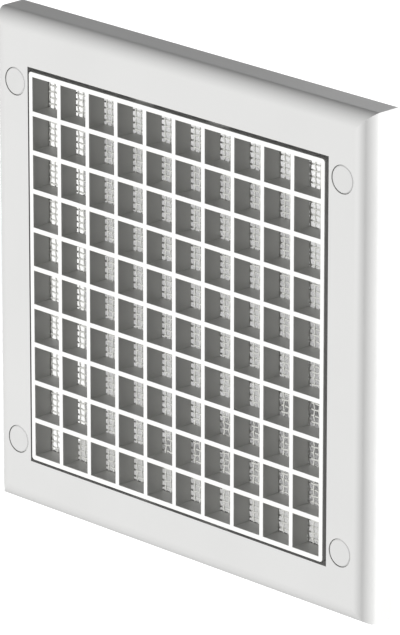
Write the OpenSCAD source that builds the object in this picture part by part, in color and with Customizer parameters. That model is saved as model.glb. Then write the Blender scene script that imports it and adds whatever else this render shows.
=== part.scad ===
// Square ventilation grille: a moulded frame with a short rear collar, a
// lift-out egg-crate core, an insect net behind it and four screw caps.
// Y = 0 is the wall plane, the face looks along -Y and +Z is up.

/* [Egg-crate core] */
// Number of cells across and down
cells = 10; // [4:1:14]
// Distance between neighbouring blades
cell_pitch = 12.5; // [8:0.5:16]
// Thickness of each blade and of the core's rim
blade_t = 1.5; // [1:0.1:2.2]
// Depth of the core, front edge to back edge
core_depth = 6.6; // [5:0.1:9]
// How far the core's front edge stands in front of the frame's face
core_proud = 0.5; // [0:0.1:1.5]
// Radius of the core's four corner edges
core_corner_r = 1; // [0.2:0.1:1.4]

/* [Frame] */
// Gap between the core's rim and the frame, each side
core_gap = 1.15; // [0.6:0.05:1.6]
// Width of the frame's border, opening edge to outer edge
border_w = 15.6; // [15:0.2:24]
// Depth of the frame, wall plane to face
frame_depth = 13; // [12:0.5:20]
// Radius of the quarter-round edge around the face
edge_r = 5.2; // [3.5:0.1:5.4]
// Wall thickness of the frame moulding
shell_t = 2.2; // [1.6:0.1:2.8]
// Number of stiffening ribs behind each side
ribs_per_side = 3; // [1:2:5]
// Thickness of the stiffening ribs
rib_t = 1.5; // [1:0.1:2.2]
// Gap between the ribs and the wall
rib_setback = 0.6; // [0.3:0.1:2]

/* [Collar] */
// Width of the ledge that the net and the core rest on
ledge_w = 2.65; // [2:0.05:4]
// Thickness of that ledge
ledge_t = 1.5; // [1:0.1:2.5]
// How far the collar reaches past the wall plane
collar_depth = 8; // [4:0.5:40]
// Wall thickness of the collar
collar_t = 2.2; // [1.6:0.1:3]
// Width of the lead-in chamfer round the collar's end
collar_lead = 0.8; // [0.2:0.1:1.2]

/* [Screws and caps] */
// Distance of each screw from the opening's side edge
screw_from_side = 5.6; // [5.5:0.1:7]
// Distance of each screw from the opening's top or bottom edge, inwards
screw_from_corner = 5.9; // [5:0.1:14]
// Radius of the screw hole
screw_hole_r = 2.25; // [1.5:0.05:2.6]
// Thickness of the floor that the screw head pulls on
screw_floor_t = 3; // [2:0.5:4]
// Wall around the hole that takes the cap
boss_t = 1.2; // [1:0.1:1.6]
// Radius of the cap's disc
cap_r = 4.3; // [3.9:0.1:4.5]
// Gap between the cap and its hole
cap_clear = 0.2; // [0.1:0.05:0.3]
// Chamfer round the cap's front edge
cap_chamfer = 0.3; // [0.1:0.05:0.6]
// Thickness of the cap's disc
cap_t = 1.4; // [1:0.1:2]
// Length of the cap's skirt behind its disc
cap_skirt_l = 4; // [2:0.5:5]
// Wall of the cap's skirt
cap_skirt_t = 0.9; // [0.7:0.1:1.2]

/* [Snap lugs] */
// Width of each snap lug
lug_w = 8; // [5:0.5:12]
// How far each lug reaches into its window
lug_bite = 0.9; // [0.5:0.1:1.4]
// Height of each lug along the depth
lug_h = 2; // [1.5:0.1:2.6]
// Flat land on top of each lug, in front of its ramp
lug_land = 0.6; // [0.3:0.1:1]
// Distance of each lug's back from the core's back edge
lug_back = 0.8; // [0.5:0.1:1.2]
// Play of a lug in its window, each side
lug_play = 0.3; // [0.2:0.05:0.5]

/* [Insect net] */
// Thickness of the net's plain ground
net_t = 0.4; // [0.3:0.1:0.8]
// Height of the threads that stand on each face of it
thread_h = 0.2; // [0.1:0.05:0.4]
// Width of one thread
thread_w = 0.9; // [0.6:0.1:1.2]
// Threads in one cell pitch
threads_per_cell = 3; // [2:1:4]
// Gap between the net's edge and the frame's opening
net_gap = 1.4; // [0.8:0.1:2]

/* [Hidden] */
$fn = 48;
// Overrun of every cut past the surface that it opens
cut = 1;

core_w = cells * cell_pitch + blade_t;
opening_w = core_w + 2 * core_gap;
outer_w = opening_w + 2 * border_w;
trough_in_w = opening_w + 2 * shell_t;

face_y = -frame_depth;
core_front_y = face_y - core_proud;
core_back_y = core_front_y + core_depth;
net_back_y = core_back_y + net_t + 2 * thread_h;
ledge_back_y = net_back_y + ledge_t;

collar_in_w = opening_w - 2 * ledge_w;
collar_out_w = collar_in_w + 2 * collar_t;

net_w = opening_w - 2 * net_gap;
thread_pitch = cell_pitch / threads_per_cell;
net_hole_w = (threads_per_cell - 1) * thread_pitch - thread_w;

screw_x = opening_w / 2 + screw_from_side;
screw_z = opening_w / 2 - screw_from_corner;
cap_hole_r = cap_r + cap_clear;
boss_r = cap_hole_r + boss_t;

lug_x = opening_w / 8;
lug_back_y = core_back_y - lug_back;
lug_front_y = lug_back_y - lug_h;

// Square block centred on the Y axis, from depth y0 to depth y1
module block(w, y0, y1) {
    translate([-w / 2, y0, -w / 2]) cube([w, y1 - y0, w]);
}

// Outline in X and Z drawn flat, raised from depth y0 to depth y1
module raise_y(y0, y1) {
    translate([0, y1, 0]) rotate([90, 0, 0]) linear_extrude(height = y1 - y0) children();
}

// Section of a frame side: straight back, quarter-round front edges
module rounded_section(w, r, y0, y1) {
    translate([-w / 2, y0 + r]) square([w, y1 - y0 - r]);
    translate([r - w / 2, y0]) square([w - 2 * r, r]);
    for (side = [-1, 1]) translate([side * (w / 2 - r), y0 + r]) circle(r);
}

// Cushion-edged square: two crossing sections, which mitre the corners
module cushion(w, r, y0, y1) {
    intersection() {
        linear_extrude(height = w, center = true) rounded_section(w, r, y0, y1);
        rotate([0, 90, 0])
            linear_extrude(height = w, center = true) rounded_section(w, r, y0, y1);
    }
}

// Middle surface of the shell, which the ribs run into
module shell_core_volume() {
    cushion(outer_w - shell_t, edge_r - shell_t / 2, face_y + shell_t / 2, 0);
}

// Ribs from the opening's wall to the rim, the same behind all four sides
module ribs() {
    step = opening_w / (ribs_per_side + 1);
    run = (outer_w - opening_w) / 2;
    intersection() {
        for (turn = [0 : 90 : 270], i = [1 : ribs_per_side])
            rotate([0, turn, 0])
                translate([i * step - opening_w / 2 - rib_t / 2, face_y, opening_w / 2])
                    cube([rib_t, frame_depth - rib_setback, run]);
        shell_core_volume();
    }
}

// Turns the lugs or their windows on to the top and the bottom side
module at_lugs() {
    for (turn = [0, 180], x = [-lug_x, lug_x])
        rotate([0, turn, 0]) translate([x, 0, 0]) children();
}

module at_screws() {
    for (x = [-screw_x, screw_x], z = [-screw_z, screw_z])
        translate([x, 0, z]) rotate([90, 0, 0]) children();
}

// Tube end with a chamfered outer edge, for pushing into the wall opening
module collar_block() {
    block(collar_out_w, net_back_y, collar_depth - collar_lead);
    intersection() {
        block(collar_out_w, collar_depth - 2 * collar_lead, collar_depth);
        for_each_axis() linear_extrude(height = collar_out_w, center = true) polygon([
            [-collar_out_w / 2, net_back_y],
            [collar_out_w / 2, net_back_y],
            [collar_out_w / 2, collar_depth - collar_lead],
            [collar_out_w / 2 - collar_lead, collar_depth],
            [collar_lead - collar_out_w / 2, collar_depth],
            [-collar_out_w / 2, collar_depth - collar_lead]
        ]);
    }
}

// Keeps what a section extruded up and the same section laid across share
module for_each_axis() {
    intersection() {
        children();
        rotate([0, 90, 0]) children();
    }
}

module frame() {
    color([0.83, 0.83, 0.83]) difference() {
        union() {
            difference() {
                cushion(outer_w, edge_r, face_y, 0);
                cushion(outer_w - 2 * shell_t, edge_r - shell_t, face_y + shell_t, cut);
            }
            block(trough_in_w, face_y + shell_t / 2, ledge_back_y);
            collar_block();
            ribs();
            at_screws() cylinder(r = boss_r, h = frame_depth - shell_t / 2);
        }
        block(opening_w, face_y - cut, net_back_y);
        block(collar_in_w, face_y - cut, collar_depth + cut);
        at_screws() {
            translate([0, 0, screw_floor_t])
                cylinder(r = cap_hole_r, h = frame_depth - screw_floor_t + cut);
            translate([0, 0, -cut]) cylinder(r = screw_hole_r, h = frame_depth);
        }
        at_lugs() lug_window();
    }
}

module lug_window() {
    translate([-lug_w / 2 - lug_play, lug_front_y - lug_play, opening_w / 2 - cut])
        cube([lug_w + 2 * lug_play, lug_h + 2 * lug_play, shell_t + 2 * cut]);
}

// Wedge that rides in over the opening's edge and springs into its window
module lug() {
    reach = core_gap + lug_bite;
    translate([-lug_w / 2, 0, core_w / 2])
        rotate([90, 0, 90]) linear_extrude(height = lug_w) polygon([
            [lug_front_y, -blade_t / 2],
            [lug_front_y, reach],
            [lug_front_y + lug_land, reach],
            [lug_back_y, 0],
            [lug_back_y, -blade_t / 2]
        ]);
}

module core_outline() {
    r = core_corner_r;
    square([core_w - 2 * r, core_w], center = true);
    square([core_w, core_w - 2 * r], center = true);
    for (x = [-1, 1], z = [-1, 1]) translate([x, z] * (core_w / 2 - r)) circle(r);
}

// One square in each cell, on the same grid for the core and the net
module cell_squares(w) {
    first = -(cells - 1) / 2 * cell_pitch;
    for (i = [0 : cells - 1], j = [0 : cells - 1])
        translate([first + i * cell_pitch, first + j * cell_pitch]) square(w, center = true);
}

module grille_core() {
    color([0.97, 0.97, 0.96]) {
        raise_y(core_front_y, core_back_y) difference() {
            core_outline();
            cell_squares(cell_pitch - blade_t);
        }
        at_lugs() lug();
    }
}

// Section of a ribbed sheet: plain ground with one thread after another
module thread_section() {
    count = cells * threads_per_cell;
    translate([-net_w / 2, 0]) square([net_w, net_t]);
    for (i = [0 : count - 1])
        translate([(i - (count - 1) / 2) * thread_pitch - thread_w / 2, 0])
            square([thread_w, net_t + thread_h]);
}

// Threads lie across on the front face and stand upright on the back face
module insect_net() {
    color([0.86, 0.86, 0.84]) difference() {
        union() {
            translate([0, core_back_y + thread_h, 0])
                linear_extrude(height = net_w, center = true) thread_section();
            translate([0, net_back_y - thread_h, 0]) rotate([180, 90, 0])
                linear_extrude(height = net_w, center = true) thread_section();
        }
        raise_y(core_back_y - cut, net_back_y + cut) cell_squares(net_hole_w);
    }
}

// Push-in plug: chamfered disc flush with the face, hollow skirt behind it
module cap(x, z) {
    back = cap_t + cap_skirt_l;
    bore_r = cap_r - cap_skirt_t;
    color([0.85, 0.85, 0.85]) translate([x, face_y, z]) rotate([-90, 0, 0])
        rotate_extrude() polygon([
            [0, 0],
            [cap_r - cap_chamfer, 0],
            [cap_r, cap_chamfer],
            [cap_r, back],
            [bore_r, back],
            [bore_r, cap_t],
            [0, cap_t]
        ]);
}

frame();
grille_core();
insect_net();
cap(-screw_x, screw_z);  // cap_upper_left
cap(screw_x, screw_z);  // cap_upper_right
cap(-screw_x, -screw_z);  // cap_lower_left
cap(screw_x, -screw_z);  // cap_lower_right
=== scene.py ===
import math

import bpy
import numpy as np
from bpy.props import FloatProperty, FloatVectorProperty, PointerProperty
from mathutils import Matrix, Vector


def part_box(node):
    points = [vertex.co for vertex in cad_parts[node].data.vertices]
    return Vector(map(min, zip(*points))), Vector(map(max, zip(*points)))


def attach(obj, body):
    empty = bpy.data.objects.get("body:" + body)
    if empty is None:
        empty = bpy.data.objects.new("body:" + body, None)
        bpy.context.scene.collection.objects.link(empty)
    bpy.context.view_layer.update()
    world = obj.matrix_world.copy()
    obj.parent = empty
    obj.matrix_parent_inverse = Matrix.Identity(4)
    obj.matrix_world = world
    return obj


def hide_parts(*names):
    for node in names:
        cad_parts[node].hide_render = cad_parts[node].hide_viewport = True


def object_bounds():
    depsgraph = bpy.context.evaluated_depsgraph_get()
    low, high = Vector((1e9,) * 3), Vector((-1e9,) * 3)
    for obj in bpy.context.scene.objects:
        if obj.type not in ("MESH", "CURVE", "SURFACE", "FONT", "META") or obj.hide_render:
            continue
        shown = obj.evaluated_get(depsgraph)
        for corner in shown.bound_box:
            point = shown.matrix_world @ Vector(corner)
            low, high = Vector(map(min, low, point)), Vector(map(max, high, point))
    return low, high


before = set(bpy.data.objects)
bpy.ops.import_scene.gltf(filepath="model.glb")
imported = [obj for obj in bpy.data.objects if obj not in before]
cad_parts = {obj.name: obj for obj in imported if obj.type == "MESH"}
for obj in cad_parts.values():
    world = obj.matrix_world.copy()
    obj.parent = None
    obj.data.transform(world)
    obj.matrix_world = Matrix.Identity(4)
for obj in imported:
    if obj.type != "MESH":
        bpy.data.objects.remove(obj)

bl_info = {
    "name": "Square Vent Grille",
    "version": (1, 0, 0),
    "blender": (4, 5, 0),
    "location": "3D View > Sidebar > Vent Grille",
    "description": "Plastic finishes, woven insect net and studio for a square vent grille",
    "category": "Object",
}

# The frame's own box, straight after loading
CAD_BOX = [list(corner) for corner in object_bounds()]

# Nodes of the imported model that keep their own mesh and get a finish
FRAME_NODE = "frame"
CORE_NODE = "grille_core"
CAP_NODES = ("cap_upper_left", "cap_upper_right", "cap_lower_left", "cap_lower_right")
NET_NODE = "insect_net"

# Irradiance at which a white surface that faces a lamp renders as white
PLAIN_LEVEL = math.pi

# Azimuth and elevation of each lamp, in degrees
FRONT_SOFTBOX = (-6, 0)
SIDE_SOFTBOX = (130, 4)
BACK_SOFTBOX = (215, 5)
FLOOR_LAMP = (46.9, 18.8)
FLOOR_FRONT_LAMP = (0, 28)

# Width of the two floor lamps in the sky, in degrees
FLOOR_LAMP_SPREAD = 5
FLOOR_FRONT_SPREAD = 3

# Half side of the floor, and its distance below the object, which keeps their faces apart
FLOOR_HALF_SIDE = 7.0
FLOOR_GAP = 0.0001

# Sensor length that the lens value is for, in mm
SENSOR_MM = 36

# Range that most of a noise node's values fall in
NOISE_LOW = 0.3
NOISE_HIGH = 0.7

# Typical optics of moulded ABS
ABS_OPTICS = {"IOR": 1.53, "Specular IOR Level": 0.4}

# Depths behind the core's front where the painted shade of the cell walls starts and where it is
# full
WALL_SHADE_START = 0.0002
WALL_SHADE_END = 0.0005


def srgb(code):
    """Turns an sRGB hex colour into linear red, green and blue. A dark part is divided by 12.92,
    and any other gets 0.055 added, is divided by 1.055 and raised to the power 2.4."""
    part = np.array([int(code[i : i + 2], 16) for i in (1, 3, 5)]) / 255
    linear = np.where(part <= 0.04045, part / 12.92, ((part + 0.055) / 1.055) ** 2.4)
    return tuple(float(value) for value in linear)


class VentPlastics(bpy.types.PropertyGroup):
    """Colours of the moulded and woven plastics."""

    frame_colour: FloatVectorProperty(
        name="Frame",
        description="Colour of the frame's light grey plastic",
        subtype="COLOR",
        min=0,
        max=1,
        default=srgb("#D3D3D2"),
    )
    # The core's white, used on its front edges; the cell walls behind them get the darker colour
    # below as painted shade
    core_colour: FloatVectorProperty(
        name="Core",
        description="Colour of the egg-crate core's polished front edges",
        subtype="COLOR",
        min=0,
        max=1,
        default=srgb("#F1F1EF"),
    )
    # Painted shade: the cell walls are coloured a tone darker than the front edges to stand in for
    # the shade inside the cells
    painted_shade_wall_tone: FloatVectorProperty(
        name="Cell Walls",
        description="Colour of the core's spark-grained cell walls",
        subtype="COLOR",
        min=0,
        max=1,
        default=srgb("#CDCDCB"),
    )
    cap_colour: FloatVectorProperty(
        name="Caps",
        description="Colour of the screw caps' light grey plastic",
        subtype="COLOR",
        min=0,
        max=1,
        default=srgb("#D1D1D0"),
    )
    net_colour: FloatVectorProperty(
        name="Net",
        description="Colour of the insect net's threads",
        subtype="COLOR",
        min=0,
        max=1,
        default=srgb("#C8C8C4"),
    )


class VentNet(bpy.types.PropertyGroup):
    """Sizes of the woven insect net."""

    upright_spacing: FloatProperty(
        name="Upright Spacing",
        description="Distance between neighbouring upright threads",
        unit="LENGTH",
        precision=5,
        default=0.002114,
    )
    level_spacing: FloatProperty(
        name="Level Spacing",
        description="Distance between neighbouring level threads",
        unit="LENGTH",
        precision=5,
        default=0.001971,
    )
    level_offset: FloatProperty(
        name="Level Offset",
        description="Height of the middle level thread above the net's centre",
        unit="LENGTH",
        precision=5,
        default=0.000645,
    )
    thread_width: FloatProperty(
        name="Thread Width",
        description="Width of a pressed thread, seen from the front",
        unit="LENGTH",
        precision=5,
        default=0.0006,
    )
    edge_width: FloatProperty(
        name="Edge Width",
        description="Width of the melted strip that holds the net's cut edge",
        unit="LENGTH",
        precision=5,
        default=0.0009,
    )


class VentStudio(bpy.types.PropertyGroup):
    """Levels of the studio's lamps, and the camera's place."""

    front_level: FloatProperty(
        name="Front Lamp",
        description="Light of the front lamp, where 1 renders white as white",
        min=0,
        default=1.0,
    )
    side_level: FloatProperty(
        name="Side Lamp",
        description="Light of the lamp behind the right side",
        min=0,
        default=1.67,
    )
    back_level: FloatProperty(
        name="Back Lamp",
        description="Light of the lamp behind the left side",
        min=0,
        default=0.6,
    )
    room_level: FloatProperty(
        name="Room Light",
        description="Even light from all round",
        min=0,
        default=0.15,
    )
    floor_level: FloatProperty(
        name="Floor Lamp",
        description="Light of the lamp that only the floor gets",
        min=0,
        default=1.1,
    )
    floor_front_level: FloatProperty(
        name="Floor Front Lamp",
        description="Light of the weaker lamp in front that only the floor gets",
        min=0,
        default=0.3,
    )
    lamp_distance: FloatProperty(
        name="Lamp Distance",
        description="Distance of each lamp from the object",
        unit="LENGTH",
        default=1.5,
    )
    lamp_size: FloatProperty(
        name="Lamp Size",
        description="Side of each lamp's square panel",
        unit="LENGTH",
        default=0.15,
    )
    camera_azimuth: FloatProperty(
        name="Camera Azimuth",
        description="Turn of the camera round the object, to the right of its face",
        subtype="ANGLE",
        default=math.radians(45.282),
    )
    camera_elevation: FloatProperty(
        name="Camera Elevation",
        description="Angle of the camera above the horizon",
        subtype="ANGLE",
        default=math.radians(18.948),
    )
    camera_distance: FloatProperty(
        name="Camera Distance",
        description="Distance of the camera from the point that it looks at",
        unit="LENGTH",
        default=1.91125,
    )
    camera_target: FloatVectorProperty(
        name="Camera Target",
        description="Point that the camera looks at",
        subtype="TRANSLATION",
        unit="LENGTH",
        default=(0.0113, -0.0135, 0.00166),
    )
    camera_lens: FloatProperty(
        name="Lens",
        description="Focal length for a 36 mm sensor along the picture's height, in mm",
        default=359.2,
    )


def add_node(tree, kind, settings, inputs):
    """Adds one node, sets its settings, and sets or links its inputs by name or number."""
    node = tree.nodes.new(kind)
    for name, value in settings.items():
        setattr(node, name, value)
    for key, value in inputs.items():
        if isinstance(value, bpy.types.NodeSocket):
            tree.links.new(value, node.inputs[key])
        else:
            node.inputs[key].default_value = value
    return node


def new_plastic(name, values):
    """Starts a material, and returns it with its tree, its shader and the Object coordinates."""
    material = bpy.data.materials.new(name)
    material.use_nodes = True
    tree = material.node_tree
    shader = tree.nodes["Principled BSDF"]
    for socket, value in values.items():
        shader.inputs[socket].default_value = value
    place = add_node(tree, "ShaderNodeTexCoord", {}, {}).outputs["Object"]
    return material, tree, shader, place


def per_metre(size_mm):
    """Scale of a pattern whose marks are size_mm apart."""
    return 1000 / size_mm


def clouded(tree, place, colour, size_mm, spread):
    """Colour times a soft noise that runs from 1 less the spread to 1 plus the spread."""
    cloud = add_node(
        tree,
        "ShaderNodeTexNoise",
        {},
        {"Vector": place, "Scale": per_metre(size_mm), "Detail": 3.0, "Roughness": 0.5},
    )
    tone = add_node(
        tree,
        "ShaderNodeMapRange",
        {},
        {
            "Value": cloud.outputs["Fac"],
            "From Min": NOISE_LOW,
            "From Max": NOISE_HIGH,
            "To Min": 1 - spread,
            "To Max": 1 + spread,
        },
    )
    shade = add_node(
        tree,
        "ShaderNodeVectorMath",
        {"operation": "SCALE"},
        {0: tuple(colour), "Scale": tone.outputs["Result"]},
    )
    return cloud.outputs["Fac"], shade.outputs["Vector"]


def spread_roughness(tree, shader, noise, low, high):
    """Roughness that follows a noise between two values."""
    rough = add_node(
        tree,
        "ShaderNodeMapRange",
        {},
        {
            "Value": noise,
            "From Min": NOISE_LOW,
            "From Max": NOISE_HIGH,
            "To Min": low,
            "To Max": high,
        },
    )
    tree.links.new(rough.outputs["Result"], shader.inputs["Roughness"])


def spark_grained_abs(colour):
    """Light grey ABS, injection moulded in a tool with a fine spark-eroded grain: a matt face
    whose tone barely drifts with the flow of the plastic."""
    material, tree, shader, place = new_plastic("abs_moulded_spark_grained", ABS_OPTICS)
    cloud, shade = clouded(tree, place, colour, 35.0, 0.012)
    tree.links.new(shade, shader.inputs["Base Color"])
    spread_roughness(tree, shader, cloud, 0.46, 0.54)
    # The real grain is about 0.05 mm, drawn at 0.6 mm so that a close view shows it
    grain = add_node(
        tree,
        "ShaderNodeTexNoise",
        {},
        {"Vector": place, "Scale": per_metre(0.6), "Detail": 2.0},
    )
    bump = add_node(
        tree,
        "ShaderNodeBump",
        {},
        {"Height": grain.outputs["Fac"], "Strength": 0.25, "Distance": 0.00004},
    )
    tree.links.new(bump.outputs["Normal"], shader.inputs["Normal"])
    return material


def white_core_abs_painted_wall_shade(edge_colour, painted_shade_wall_tone, front):
    """White ABS, injection moulded, with the cell walls coming off the tool's pins. The front edges
    keep the white, and the cell walls behind them are painted a tone darker as painted shade inside
    the cells. The walls show faint lines along the depth where the pins were drawn out."""
    material, tree, shader, place = new_plastic("abs_white_painted_wall_shade", ABS_OPTICS)
    cloud, edge = clouded(tree, place, edge_colour, 18.0, 0.01)
    cloud, wall = clouded(tree, place, painted_shade_wall_tone, 9.0, 0.03)
    depth = add_node(tree, "ShaderNodeSeparateXYZ", {}, {"Vector": place}).outputs["Y"]
    # Painted shade: the walls turn from the white to the darker wall colour 0.2 to 0.5 mm behind
    # the front
    behind = add_node(
        tree,
        "ShaderNodeMapRange",
        {},
        {"Value": depth, "From Min": front + WALL_SHADE_START, "From Max": front + WALL_SHADE_END},
    )
    # Painted shade: mixes from the white front to the darker cell walls by depth
    tone = add_node(
        tree,
        "ShaderNodeMix",
        {"data_type": "RGBA"},
        {"Factor": behind.outputs["Result"], 6: edge, 7: wall},
    )
    tree.links.new(tone.outputs[2], shader.inputs["Base Color"])
    spread_roughness(tree, shader, cloud, 0.42, 0.52)
    # Draw lines 0.5 mm apart that run 15 mm along the depth
    stretched = add_node(
        tree,
        "ShaderNodeMapping",
        {"vector_type": "POINT"},
        {"Vector": place, "Scale": (per_metre(0.5), per_metre(15.0), per_metre(0.5))},
    )
    lines = add_node(
        tree,
        "ShaderNodeTexNoise",
        {},
        {"Vector": stretched.outputs["Vector"], "Scale": 1.0, "Detail": 2.0},
    )
    bump = add_node(
        tree,
        "ShaderNodeBump",
        {},
        {"Height": lines.outputs["Fac"], "Strength": 0.3, "Distance": 0.00004},
    )
    tree.links.new(bump.outputs["Normal"], shader.inputs["Normal"])
    return material


def turned_cap_abs(colour, centre):
    """Light grey ABS, moulded against a turned insert: fine rings round the middle of each cap.
    The four caps share one pattern, because both coordinates lose their sign first."""
    material, tree, shader, place = new_plastic("abs_moulded_turned_insert", ABS_OPTICS)
    cloud, shade = clouded(tree, place, colour, 6.0, 0.01)
    tree.links.new(shade, shader.inputs["Base Color"])
    spread_roughness(tree, shader, cloud, 0.42, 0.5)
    folded = add_node(tree, "ShaderNodeVectorMath", {"operation": "ABSOLUTE"}, {0: place})
    from_middle = add_node(
        tree,
        "ShaderNodeVectorMath",
        {"operation": "SUBTRACT"},
        {0: folded.outputs["Vector"], 1: centre},
    )
    flat = add_node(
        tree,
        "ShaderNodeVectorMath",
        {"operation": "MULTIPLY"},
        {0: from_middle.outputs["Vector"], 1: (1, 0, 1)},
    )
    # Rings 0.45 mm apart: a turned insert's are about 0.1 mm, too fine to show
    rings = add_node(
        tree,
        "ShaderNodeTexWave",
        {"wave_type": "RINGS", "rings_direction": "SPHERICAL", "wave_profile": "SIN"},
        {
            "Vector": flat.outputs["Vector"],
            "Scale": per_metre(0.45) / 20 * math.tau,
            "Distortion": 0.4,
            "Detail": 1.0,
        },
    )
    bump = add_node(
        tree,
        "ShaderNodeBump",
        {},
        {"Height": rings.outputs["Fac"], "Strength": 0.2, "Distance": 0.00002},
    )
    tree.links.new(bump.outputs["Normal"], shader.inputs["Normal"])
    return material


def woven_polypropylene(colour):
    """Off-white polypropylene thread, woven and hot pressed: waxy, a little smoother where the
    press met it, and of slightly uneven tone from thread to thread."""
    material, tree, shader, place = new_plastic(
        "polypropylene_woven_thread", {"IOR": 1.49, "Specular IOR Level": 0.35}
    )
    cloud, shade = clouded(tree, place, colour, 2.6, 0.04)
    tree.links.new(shade, shader.inputs["Base Color"])
    spread_roughness(tree, shader, cloud, 0.42, 0.56)
    # Drawn filament: lines about 0.15 mm apart
    fibre = add_node(
        tree,
        "ShaderNodeTexNoise",
        {},
        {"Vector": place, "Scale": per_metre(0.15), "Detail": 1.0},
    )
    bump = add_node(
        tree,
        "ShaderNodeBump",
        {},
        {"Height": fibre.outputs["Fac"], "Strength": 0.25, "Distance": 0.00003},
    )
    tree.links.new(bump.outputs["Normal"], shader.inputs["Normal"])
    return material


def give_finish(node_names, material):
    """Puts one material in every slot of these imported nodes."""
    for name in node_names:
        for material_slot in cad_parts[name].material_slots:
            material_slot.material = material


def skin(name, points, quads, smooth):
    """Makes an object at the origin from points (n by 3) and quads (m by 4), both arrays.
    smooth says for each quad whether it is shaded as part of a curved surface."""
    mesh = bpy.data.meshes.new(name)
    mesh.vertices.add(len(points))
    mesh.vertices.foreach_set("co", points.astype(np.float32).ravel())
    mesh.loops.add(quads.size)
    mesh.loops.foreach_set("vertex_index", quads.astype(np.int32).ravel())
    mesh.polygons.add(len(quads))
    mesh.polygons.foreach_set("loop_start", np.arange(0, quads.size, 4, dtype=np.int32))
    mesh.polygons.foreach_set("use_smooth", smooth)
    mesh.update(calc_edges=True)
    mesh.validate()
    piece = bpy.data.objects.new(name, mesh)
    bpy.context.scene.collection.objects.link(piece)
    return piece


def wavy_threads(across, along, ends, middle, half_width, half_depth, first_side):
    """Points and quads of all the threads that run one way, before they are turned into place.
    Each is a six-sided ellipse carried along a wave. Its centre line is a cosine of the distance
    along it, at its height where it crosses each thread of the other set and at zero half way,
    and it takes the other side on every next crossing and on every next thread.
    Point = (place across + half width * cos(angle), middle + wave + half depth * sin(angle), s)."""
    step = along[1] - along[0]
    half_steps = np.arange(2 * len(along) + 1)
    s = along[0] - step / 2 + half_steps * step / 2
    s = np.concatenate(([ends[0]], s[(s > ends[0]) & (s < ends[1])], [ends[1]]))
    wave = half_depth * np.cos(np.pi * (s - along[0]) / step)
    side = first_side * (-1.0) ** np.arange(len(across))
    angle = np.arange(6) * np.pi / 3
    x = across[:, None, None] + half_width * np.cos(angle)[None, None, :] + 0 * s[None, :, None]
    y = middle + side[:, None, None] * wave[None, :, None]
    y = y + half_depth * np.sin(angle)[None, None, :]
    z = s[None, :, None] + 0 * x
    points = np.stack([x, y + 0 * x, z], axis=-1)
    return points, tube_quads(len(across), len(s), 6)


def tube_quads(tubes, rings, sides):
    """Quads between neighbouring rings of many tubes, and two quads that close each end.
    Point number = (tube * rings + ring) * sides + side."""
    number = np.arange(tubes * rings * sides).reshape(tubes, rings, sides)
    here = number[:, :-1]
    ahead = number[:, 1:]
    walls = np.stack(
        [here, np.roll(here, -1, axis=2), np.roll(ahead, -1, axis=2), ahead], axis=-1
    )
    first = number[:, 0][:, [[3, 2, 1, 0], [5, 4, 3, 0]]]
    last = number[:, -1][:, [[0, 1, 2, 3], [0, 3, 4, 5]]]
    return np.concatenate([walls.reshape(-1, 4), first.reshape(-1, 4), last.reshape(-1, 4)])


def melted_edge(half_out, width, low, high):
    """Points and quads of a strip round the net's cut edge: a rectangle with cut corners, carried
    round a square, with its corners mitred. Point = (+-r, y, +-r) for each section point (r, y)."""
    cut = width / 4
    r = np.array([0, cut, width - cut, width, width, width - cut, cut, 0]) + half_out - width
    y = np.array([low + cut, low, low, low + cut, high - cut, high, high, high - cut])
    turn = np.array([[1, 1], [-1, 1], [-1, -1], [1, -1]])
    points = np.stack([turn[:, :1] * r, np.tile(y, (4, 1)), turn[:, 1:] * r], axis=-1)
    number = np.arange(32).reshape(4, 8)
    ahead = np.roll(number, -1, axis=0)
    quads = np.stack(
        [number, ahead, np.roll(ahead, -1, axis=1), np.roll(number, -1, axis=1)], axis=-1
    )
    return points.reshape(-1, 3), quads.reshape(-1, 4)


def weave_net(sizes):
    """Joins the level threads, the upright threads and the melted edge into one net, inside the
    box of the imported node."""
    low, high = (np.array(corner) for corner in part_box(NET_NODE))
    middle = (low[1] + high[1]) / 2
    half_depth = (high[1] - low[1]) / 4
    half_width = sizes.thread_width / 2
    half_side = high[0]
    inside = half_side - sizes.edge_width / 2
    reach = half_side - sizes.edge_width - half_width
    count = math.floor(reach / sizes.upright_spacing)
    upright = np.arange(-count, count + 1) * sizes.upright_spacing
    count = math.floor(reach / sizes.level_spacing)
    level = np.arange(-count, count + 1) * sizes.level_spacing + sizes.level_offset
    level = level[np.abs(level) < reach]
    ends = (-inside, inside)
    up_points, up_quads = wavy_threads(
        upright, level, ends, middle, half_width, half_depth, -1.0
    )
    level_points, level_quads = wavy_threads(
        level, upright, ends, middle, half_width, half_depth, 1.0
    )
    # The level set is made upright and turned by swapping X and Z, which also turns its faces
    level_points = level_points[..., [2, 1, 0]]
    level_quads = level_quads[:, ::-1]
    edge_points, edge_quads = melted_edge(half_side, sizes.edge_width, low[1], high[1])
    up_points = up_points.reshape(-1, 3)
    level_points = level_points.reshape(-1, 3)
    points = np.concatenate([up_points, level_points, edge_points])
    quads = np.concatenate(
        [
            up_quads,
            level_quads + len(up_points),
            edge_quads + len(up_points) + len(level_points),
        ]
    )
    smooth = np.ones(len(quads), dtype=bool)
    smooth[-len(edge_quads) :] = False
    return skin("insect_net_woven", points, quads, smooth)


def direction(azimuth, elevation):
    """Unit vector from the object towards a lamp or camera. Azimuth 0 is in front of the face and
    90 degrees is to its right: (sin a cos e, -cos a cos e, sin e)."""
    return Vector(
        (
            math.sin(azimuth) * math.cos(elevation),
            -math.cos(azimuth) * math.cos(elevation),
            math.sin(elevation),
        )
    )


def aim(thing, azimuth, elevation, distance, target):
    """Puts a lamp or camera at a distance from its target, looking at it."""
    back = direction(azimuth, elevation)
    thing.location = Vector(target) + back * distance
    thing.rotation_mode = "QUATERNION"
    thing.rotation_quaternion = back.to_track_quat("Z", "Y")


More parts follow.
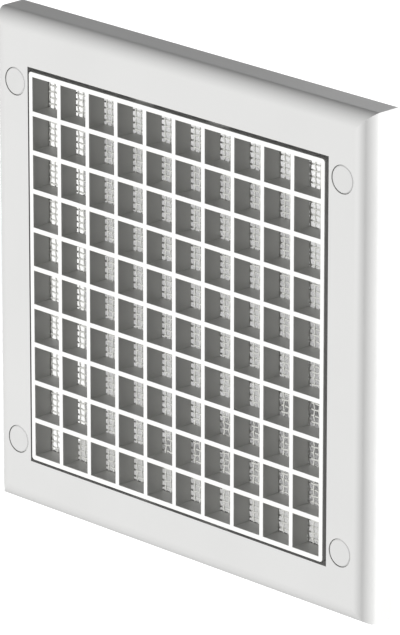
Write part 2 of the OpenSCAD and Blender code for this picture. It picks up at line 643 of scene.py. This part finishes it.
def panel_lamp(name, azimuth, elevation, level, studio, receivers):
    """A square softbox. Its power for one unit of light at the object is pi * pi * distance
    squared, because a panel's light on its axis is its power over pi and the distance squared."""
    light = bpy.data.lights.new(name, "AREA")
    light.shape = "SQUARE"
    light.size = studio.lamp_size
    light.energy = level * PLAIN_LEVEL * math.pi * studio.lamp_distance**2
    lamp = bpy.data.objects.new(name, light)
    bpy.context.scene.collection.objects.link(lamp)
    lamp.visible_camera = False
    lamp.light_linking.receiver_collection = receivers
    aim(lamp, math.radians(azimuth), math.radians(elevation), studio.lamp_distance, (0, 0, 0))
    return lamp


def floor_lamp(name, azimuth, elevation, spread, level, receivers):
    """A far lamp for the floor alone. Its strength is divided by the sine of its elevation,
    because it meets the floor at a slant."""
    light = bpy.data.lights.new(name, "SUN")
    light.energy = level * PLAIN_LEVEL / math.sin(math.radians(elevation))
    light.angle = math.radians(spread)
    lamp = bpy.data.objects.new(name, light)
    bpy.context.scene.collection.objects.link(lamp)
    lamp.light_linking.receiver_collection = receivers
    aim(lamp, math.radians(azimuth), math.radians(elevation), 2, (0, 0, 0))
    return lamp


def receivers_of(name, things, state):
    """Collection that tells a lamp to light these things alone, or everything but them."""
    group = bpy.data.collections.new(name)
    for thing in things:
        group.objects.link(thing)
    for entry in group.collection_objects:
        entry.light_linking.link_state = state
    return group


def pale_floor(half_side, height):
    """One flat square under the object: (x, y, height) for x and y at plus and minus half_side."""
    edge = np.array([-half_side, half_side])
    x, y = np.meshgrid(edge, edge)
    points = np.stack([x.ravel(), y.ravel(), np.full(4, height)], axis=-1)
    floor = skin("studio_floor", points, np.array([[0, 1, 3, 2]]), np.zeros(1, dtype=bool))
    material = bpy.data.materials.new("studio_paper_white")
    material.use_nodes = True
    shader = material.node_tree.nodes["Principled BSDF"]
    shader.inputs["Base Color"].default_value = (*srgb("#FAFAFA"), 1)
    shader.inputs["Roughness"].default_value = 1.0
    shader.inputs["Specular IOR Level"].default_value = 0.0
    floor.data.materials.append(material)
    floor.visible_diffuse = False
    floor.visible_glossy = False
    return floor


def white_room(level):
    """World that gives an even light, and that the camera, gloss and glass see as white."""
    world = bpy.data.worlds.new("studio_room")
    world.use_nodes = True
    tree = world.node_tree
    ray = add_node(tree, "ShaderNodeLightPath", {}, {})
    seen = add_node(
        tree,
        "ShaderNodeMath",
        {"operation": "MAXIMUM"},
        {0: ray.outputs["Is Camera Ray"], 1: ray.outputs["Is Glossy Ray"]},
    )
    seen = add_node(
        tree,
        "ShaderNodeMath",
        {"operation": "MAXIMUM"},
        {0: seen.outputs["Value"], 1: ray.outputs["Is Transmission Ray"]},
    )
    strength = add_node(
        tree,
        "ShaderNodeMapRange",
        {},
        {"Value": seen.outputs["Value"], "To Min": level, "To Max": 1.0},
    )
    background = tree.nodes["Background"]
    background.inputs["Color"].default_value = (1, 1, 1, 1)
    tree.links.new(strength.outputs["Result"], background.inputs["Strength"])
    bpy.context.scene.world = world


class VENTGRILLE_OT_finish_frame(bpy.types.Operator):
    """Give the frame its matt, spark-grained grey plastic"""

    bl_idname = "ventgrille.finish_frame"
    bl_label = "Finish Frame"

    def execute(self, context):
        plastics = context.scene.vent_plastics
        give_finish([FRAME_NODE], spark_grained_abs(plastics.frame_colour))
        return {"FINISHED"}


class VENTGRILLE_OT_finish_core(bpy.types.Operator):
    """Give the egg-crate core its white plastic, with painted shade on the cell walls"""

    bl_idname = "ventgrille.finish_core"
    bl_label = "Finish Core"

    def execute(self, context):
        plastics = context.scene.vent_plastics
        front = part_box(CORE_NODE)[0].y
        finish = white_core_abs_painted_wall_shade(plastics.core_colour, plastics.painted_shade_wall_tone, front)
        give_finish([CORE_NODE], finish)
        return {"FINISHED"}


class VENTGRILLE_OT_finish_caps(bpy.types.Operator):
    """Give the four screw caps their grey plastic with turned rings"""

    bl_idname = "ventgrille.finish_caps"
    bl_label = "Finish Caps"

    def execute(self, context):
        plastics = context.scene.vent_plastics
        low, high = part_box("cap_upper_right")
        centre = ((low.x + high.x) / 2, 0, (low.z + high.z) / 2)
        give_finish(CAP_NODES, turned_cap_abs(plastics.cap_colour, centre))
        return {"FINISHED"}


class VENTGRILLE_OT_weave_net(bpy.types.Operator):
    """Weave the insect net, thread by thread, in place of the plain one"""

    bl_idname = "ventgrille.weave_net"
    bl_label = "Weave Net"

    def execute(self, context):
        net = weave_net(context.scene.vent_net)
        net.data.materials.append(woven_polypropylene(context.scene.vent_plastics.net_colour))
        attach(net, "root")
        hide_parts(NET_NODE)
        return {"FINISHED"}


class VENTGRILLE_OT_build_studio(bpy.types.Operator):
    """Set the floor, the lamps, the white room and the camera"""

    bl_idname = "ventgrille.build_studio"
    bl_label = "Build Studio"

    def execute(self, context):
        studio = context.scene.vent_studio
        floor = pale_floor(FLOOR_HALF_SIDE, CAD_BOX[0][2] - FLOOR_GAP)
        outside = [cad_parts[name] for name in (FRAME_NODE, *CAP_NODES)]
        object_only = receivers_of("lit_object", [floor], "EXCLUDE")
        outside_only = receivers_of("lit_outside", outside, "INCLUDE")
        core_not = receivers_of("lit_back", [floor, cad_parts[CORE_NODE]], "EXCLUDE")
        floor_only = receivers_of("lit_floor", [floor], "INCLUDE")
        panel_lamp("front_softbox", *FRONT_SOFTBOX, studio.front_level, studio, object_only)
        panel_lamp("side_softbox", *SIDE_SOFTBOX, studio.side_level, studio, outside_only)
        panel_lamp("back_softbox", *BACK_SOFTBOX, studio.back_level, studio, core_not)
        floor_lamp(
            "floor_lamp", *FLOOR_LAMP, FLOOR_LAMP_SPREAD, studio.floor_level, floor_only
        )
        floor_lamp(
            "floor_front_lamp",
            *FLOOR_FRONT_LAMP,
            FLOOR_FRONT_SPREAD,
            studio.floor_front_level,
            floor_only,
        )
        white_room(studio.room_level)
        camera_data = bpy.data.cameras.new("photo_camera")
        camera_data.sensor_width = SENSOR_MM
        camera_data.lens = studio.camera_lens
        camera = bpy.data.objects.new("photo_camera", camera_data)
        context.scene.collection.objects.link(camera)
        context.scene.camera = camera
        aim(
            camera,
            studio.camera_azimuth,
            studio.camera_elevation,
            studio.camera_distance,
            studio.camera_target,
        )
        context.scene.view_settings.view_transform = "Standard"
        return {"FINISHED"}


class VENTGRILLE_PT_sidebar(bpy.types.Panel):
    """Sidebar panel with the grille's colours, sizes and steps"""

    bl_idname = "VENTGRILLE_PT_sidebar"
    bl_label = "Vent Grille"
    bl_space_type = "VIEW_3D"
    bl_region_type = "UI"
    bl_category = "Vent Grille"

    def draw(self, context):
        for group in (
            context.scene.vent_plastics,
            context.scene.vent_net,
            context.scene.vent_studio,
        ):
            column = self.layout.column(align=True)
            for name in group.__annotations__:
                column.prop(group, name)
        for step in STEPS:
            self.layout.operator(step.bl_idname)


GROUPS = {"vent_plastics": VentPlastics, "vent_net": VentNet, "vent_studio": VentStudio}
STEPS = (
    VENTGRILLE_OT_finish_frame,
    VENTGRILLE_OT_finish_core,
    VENTGRILLE_OT_finish_caps,
    VENTGRILLE_OT_weave_net,
    VENTGRILLE_OT_build_studio,
)


def register():
    for kind in (*GROUPS.values(), *STEPS, VENTGRILLE_PT_sidebar):
        bpy.utils.register_class(kind)
    for name, group in GROUPS.items():
        setattr(bpy.types.Scene, name, PointerProperty(type=group))


def unregister():
    for name in GROUPS:
        delattr(bpy.types.Scene, name)
    for kind in reversed((*GROUPS.values(), *STEPS, VENTGRILLE_PT_sidebar)):
        bpy.utils.unregister_class(kind)


def main():
    """Registers the add-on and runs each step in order."""
    register()
    bpy.ops.ventgrille.finish_frame()
    bpy.ops.ventgrille.finish_core()
    bpy.ops.ventgrille.finish_caps()
    bpy.ops.ventgrille.weave_net()
    bpy.ops.ventgrille.build_studio()


if __name__ == "__main__":
    main()
